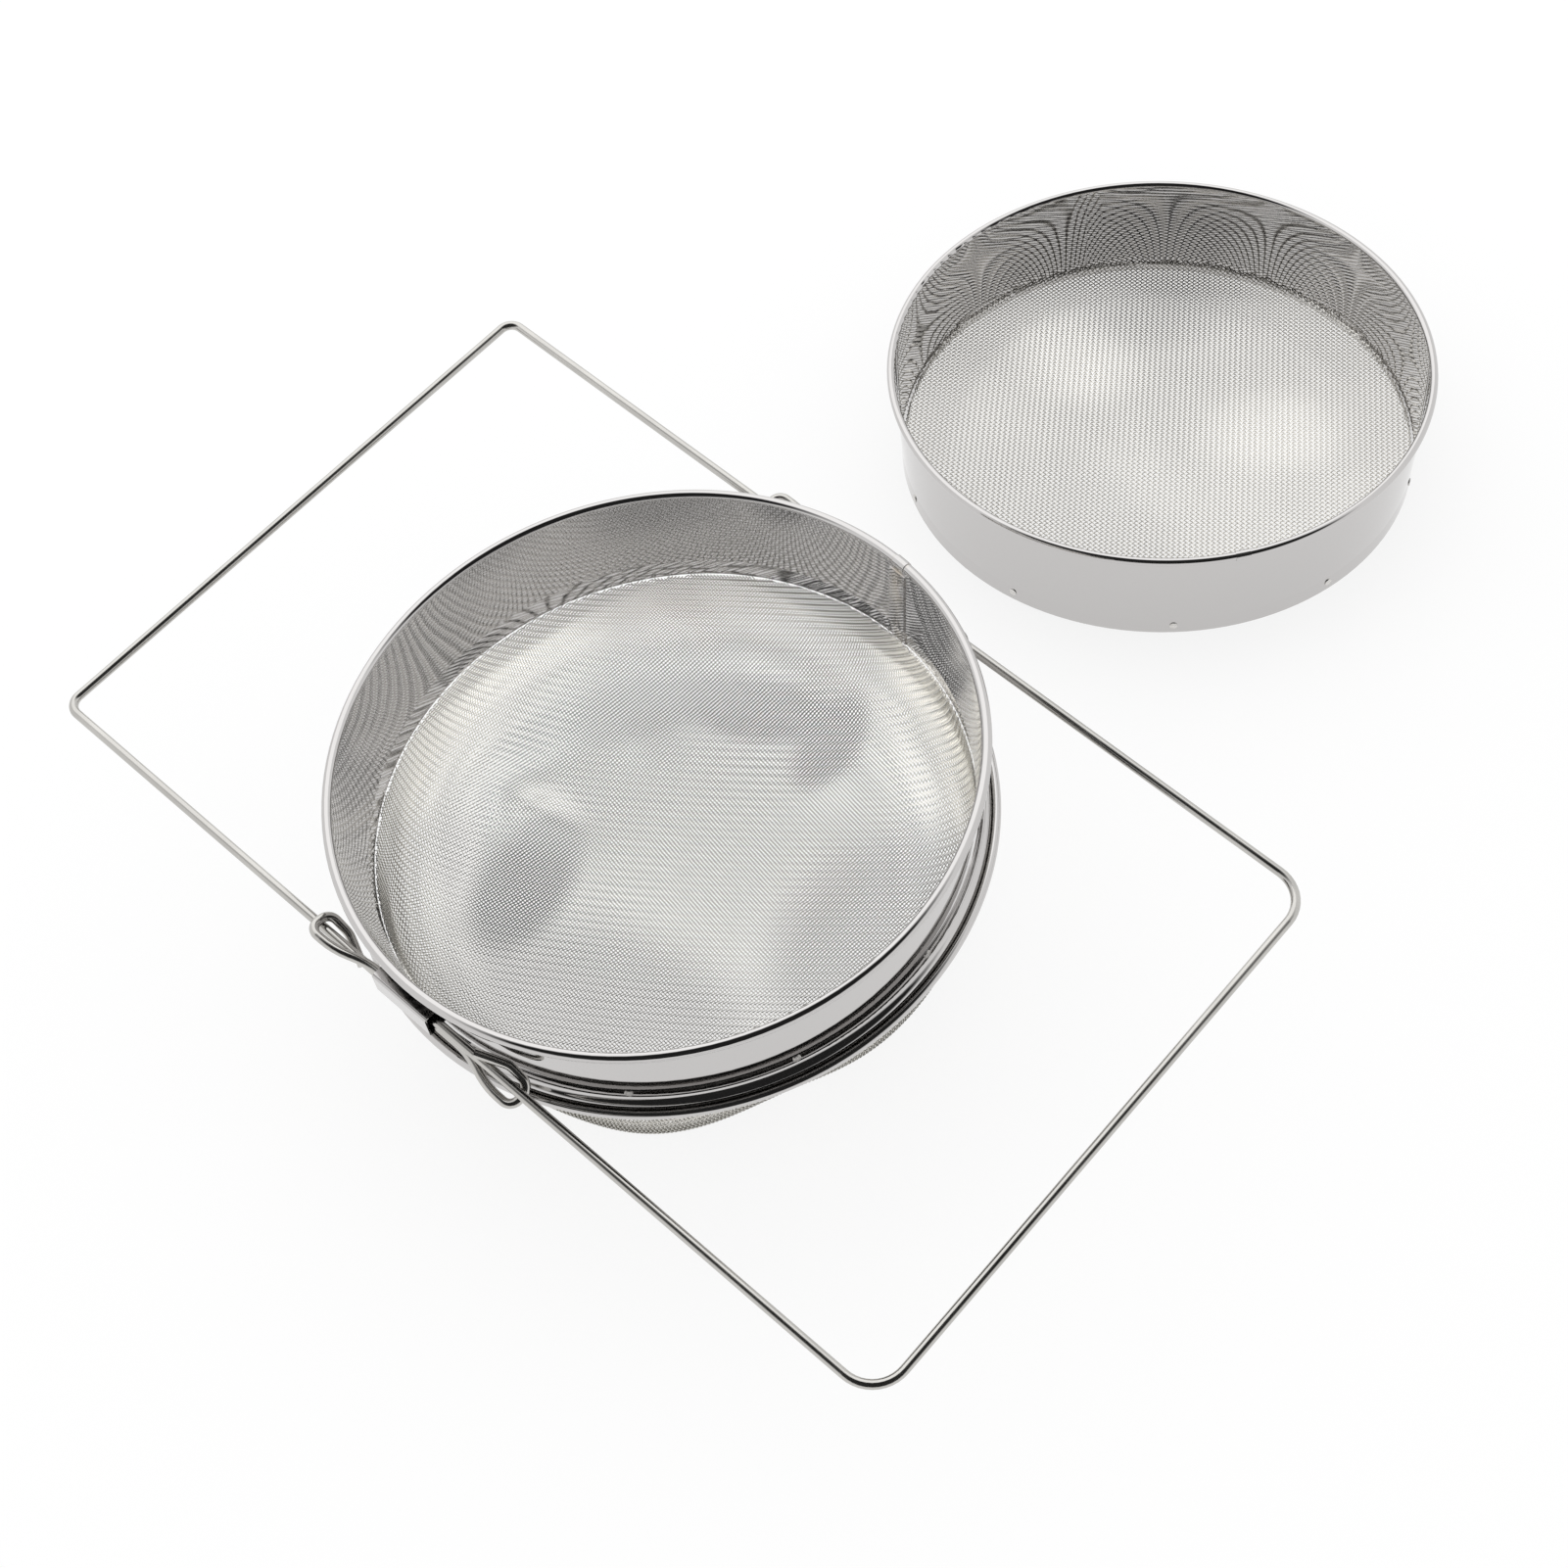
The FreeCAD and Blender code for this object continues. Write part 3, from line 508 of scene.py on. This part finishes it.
def disc_shape(u, v):
    """The coarse cloth: almost flat, a little wavy, its cut edge turned up inside the band."""
    edge = sizes().coarse_radius
    distance = np.hypot(u, v)
    around = np.arctan2(v, u)
    flat = np.minimum(distance, edge)
    up = np.maximum(distance - edge, 0)
    calm = np.clip((edge - distance) / (30 * MM), 0, 1)
    wavy = calm * MM * (0.7 * np.sin(u / (21 * MM) + 0.6) * np.cos(v / (27 * MM) + 1.1)
                        + 0.5 * np.sin(v / (16 * MM) - u / (50 * MM)))
    return np.stack([flat * np.cos(around), flat * np.sin(around), up + wavy], axis=-1)


class STRAINER_OT_coarse_weave(bpy.types.Operator):
    """Weave the coarse sieve's flat mesh and its turned-up wire ends"""
    bl_idname = "strainer.coarse_weave"
    bl_label = "Coarse weave"

    def execute(self, context):
        size = sizes()
        draw = np.random.default_rng(11)
        ring = ring_frame("coarse_rim_wire")
        low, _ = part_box("coarse_mesh_disc")
        place = (Matrix.Translation((ring.translation.x, ring.translation.y,
                                     low.z + size.coarse_wire))
                 @ Matrix.Rotation(CLOTH_TURN["coarse"], 4, "Z"))
        reach = size.coarse_radius + size.fringe
        # each wire end is cut a little short of the full reach
        cuts = reach - draw.uniform(0, CUT_SHORT, 360 * CUTS_PER_DEGREE)
        # the flat cloth's wire material carries painted shade and painted highlights
        material = woven_wire("woven_stainless_coarse", colours().weave, 0.2, ring, DISC_PAINTED_SHADE_AND_HIGHLIGHTS)

        def keep(u, v):
            number = (np.degrees(np.arctan2(v, u)) * CUTS_PER_DEGREE).astype(int) % len(cuts)
            return np.hypot(u, v) < cuts[number]

        for name, across in (("coarse_warp_wires", False), ("coarse_weft_wires", True)):
            verts, faces = weave_wires(size.coarse_pitch, size.coarse_wire, surface_of(disc_shape),
                                       keep, reach, across, float_length=1, swell=0.5, sides=6)
            mesh_piece(name, verts, faces, material, "coarse_sieve",
                                     place)
        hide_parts("coarse_mesh_disc")
        return {"FINISHED"}


class STRAINER_OT_sheet_metal(bpy.types.Operator):
    """Give the bands, hoop, sleeves, clips and welds their finishes"""
    bl_idname = "strainer.sheet_metal"
    bl_label = "Sheet metal"

    def execute(self, context):
        tones = colours()
        fine_ring = ring_frame("fine_rim_wire")
        coarse_ring = ring_frame("coarse_rim_wire")
        use_material(["fine_band"],
                     polished_sheet("polished_stainless_fine_band", tones.sheet, 0.03, fine_ring,
                                    FINE_SEAM, straight=True))
        use_material(["fine_bottom_hoop"],
                     polished_sheet("polished_stainless_hoop", tones.sheet, 0.06, fine_ring))
        use_material(["coarse_band"],
                     polished_sheet("polished_stainless_coarse_band", tones.sheet, 0.03,
                                    coarse_ring))
        use_material(["near_guide_sleeve", "far_guide_sleeve", "fine_rim_clip", "coarse_rim_clip"],
                     polished_sheet("polished_stainless_strip", tones.sheet, 0.12))
        use_material(["fine_rim_wire", "fine_hoop_wire", "coarse_rim_wire"],
                     drawn_wire("rim_wire_steel", tones.drawn, 0.25, (0, 0, 1)))
        use_material(["fine_weld_spots", "coarse_weld_spots"],
                     polished_sheet("spot_weld_steel", tones.weld, 0.45))
        return {"FINISHED"}


class STRAINER_OT_handles(bpy.types.Operator):
    """Give the two sliding frames their bright drawn wire finish"""
    bl_idname = "strainer.handles"
    bl_label = "Sliding frames"

    def execute(self, context):
        use_material(["left_handle_frame", "right_handle_frame"],
                     drawn_wire("bright_drawn_wire", colours().drawn, 0.14, (1, 0, 0)))
        return {"FINISHED"}


# ---------------------------------------------------------------- stage

# from the fine sieve's rim to the camera, and from the object to the unlit side of the studio
CAMERA_REACH = (0.47924, -0.37207, 0.75902)
CAMERA_DEGREES = (37.5438, 3.7648, 42.9361)
CAMERA_LENS = 61.83
UNLIT_SIDE = (0.520, -0.460, 0.720)
FLOOR_HALF_WIDTH = 6.0
# the floor lies this far under the object, so that the two never share a face
FLOOR_DROP = 0.3 * MM
# how much of the floor's look comes from its own white where it is seen or mirrored
FLOOR_WHITE = 0.8


def soft_box(name, place, target, width, height, watts):
    lamp = bpy.data.lights.new(name, "AREA")
    lamp.shape, lamp.size, lamp.size_y, lamp.energy = "RECTANGLE", width, height, watts
    holder = bpy.data.objects.new(name, lamp)
    holder.location = place
    holder.rotation_euler = (Vector(target) - Vector(place)).to_track_quat("-Z", "Y").to_euler()
    bpy.context.scene.collection.objects.link(holder)
    return holder


class STRAINER_OT_stage(bpy.types.Operator):
    """Lay the pale floor and set the camera, a soft box and surroundings"""
    bl_idname = "strainer.stage"
    bl_label = "Studio"

    def execute(self, context):
        scene = context.scene
        half = FLOOR_HALF_WIDTH
        mesh = bpy.data.meshes.new("studio_floor")
        mesh.from_pydata([(-half, -half, 0), (half, -half, 0), (half, half, 0), (-half, half, 0)],
                         [], [(0, 1, 2, 3)])
        floor = bpy.data.objects.new("studio_floor", mesh)
        floor.location.z = -FLOOR_DROP
        scene.collection.objects.link(floor)
        paint = new_material("matt_white_floor")
        rays = add_node(paint, "ShaderNodeLightPath")
        matt = add_node(paint, "ShaderNodeBsdfDiffuse", Color=(*colours().floor, 1))
        glow = add_node(paint, "ShaderNodeEmission", Color=(1, 1, 1, 1), Strength=1.0)
        seen = add_node(paint, "ShaderNodeMath", {"operation": "MAXIMUM"},
                        _0=(rays, "Is Camera Ray"), _1=(rays, "Is Glossy Ray"))
        part = add_node(paint, "ShaderNodeMath", {"operation": "MULTIPLY"}, _0=(seen, "Value"),
                        _1=FLOOR_WHITE)
        blend = add_node(paint, "ShaderNodeMixShader", _0=(part, "Value"), _1=(matt, "BSDF"),
                         _2=(glow, "Emission"))
        add_node(paint, "ShaderNodeOutputMaterial", Surface=(blend, "Shader"))
        mesh.materials.append(paint)

        world = bpy.data.worlds.new("studio")
        world.use_nodes = True
        world.node_tree.nodes.clear()
        scene.world = world
        rays = add_node(world, "ShaderNodeLightPath")
        room = add_node(world, "ShaderNodeBackground", Color=(1, 1, 1, 1), Strength=1.0)
        white = add_node(world, "ShaderNodeBackground", Color=(1, 1, 1, 1), Strength=1.0)
        # the unlit side of the studio gives bright metal its dark lines
        direction = add_node(world, "ShaderNodeTexCoord")
        facing = add_node(world, "ShaderNodeVectorMath", {"operation": "DOT_PRODUCT"},
                          _0=(direction, "Generated"), _1=UNLIT_SIDE)
        lit = add_node(world, "ShaderNodeMapRange", _0=(facing, "Value"), From_Min=0.54,
                       From_Max=0.72, To_Min=1.0, To_Max=0.02)
        mirrored = add_node(world, "ShaderNodeBackground", Color=(1, 1, 1, 1),
                            Strength=(lit, "Result"))
        blend = add_node(world, "ShaderNodeMixShader", _0=(rays, "Is Glossy Ray"),
                         _1=(room, "Background"), _2=(mirrored, "Background"))
        blend = add_node(world, "ShaderNodeMixShader", _0=(rays, "Is Camera Ray"),
                         _1=(blend, "Shader"), _2=(white, "Background"))
        add_node(world, "ShaderNodeOutputWorld", Surface=(blend, "Shader"))

        soft_box("key_soft_box", (-1.2, 0.6, 1.6), (0, 0, 0), 2.4, 2.4, 9)

        lens = bpy.data.cameras.new("camera")
        lens.lens, lens.sensor_width = CAMERA_LENS, 36.0
        lens.clip_start, lens.clip_end = 0.01, 50.0
        camera = bpy.data.objects.new("camera", lens)
        camera.location = ring_frame("fine_rim_wire").translation + Vector(CAMERA_REACH)
        camera.rotation_euler = [math.radians(a) for a in CAMERA_DEGREES]
        scene.collection.objects.link(camera)
        scene.camera = camera
        scene.view_settings.view_transform = "Standard"
        return {"FINISHED"}


class STRAINER_PT_panel(bpy.types.Panel):
    """Lists the sizes, colours and making steps"""
    bl_idname = "STRAINER_PT_panel"
    bl_label = "Double Sieve Strainer"
    bl_space_type = "VIEW_3D"
    bl_region_type = "UI"
    bl_category = "Strainer"

    def draw(self, context):
        column = self.layout.column()
        for group in (context.scene.strainer_sizes, context.scene.strainer_colours):
            for name in group.__annotations__:
                column.prop(group, name)
        for operator in OPERATORS:
            column.operator(operator.bl_idname)


OPERATORS = (STRAINER_OT_stage, STRAINER_OT_sheet_metal, STRAINER_OT_handles,
             STRAINER_OT_fine_weave, STRAINER_OT_coarse_weave)
CLASSES = (StrainerSizes, StrainerColours, *OPERATORS, STRAINER_PT_panel)


def register():
    for item in CLASSES:
        bpy.utils.register_class(item)
    bpy.types.Scene.strainer_sizes = PointerProperty(type=StrainerSizes)
    bpy.types.Scene.strainer_colours = PointerProperty(type=StrainerColours)


def unregister():
    del bpy.types.Scene.strainer_colours
    del bpy.types.Scene.strainer_sizes
    for item in reversed(CLASSES):
        bpy.utils.unregister_class(item)


def main():
    register()
    bpy.ops.strainer.stage()
    bpy.ops.strainer.sheet_metal()
    bpy.ops.strainer.handles()
    bpy.ops.strainer.fine_weave()
    bpy.ops.strainer.coarse_weave()


if __name__ == "__main__":
    main()
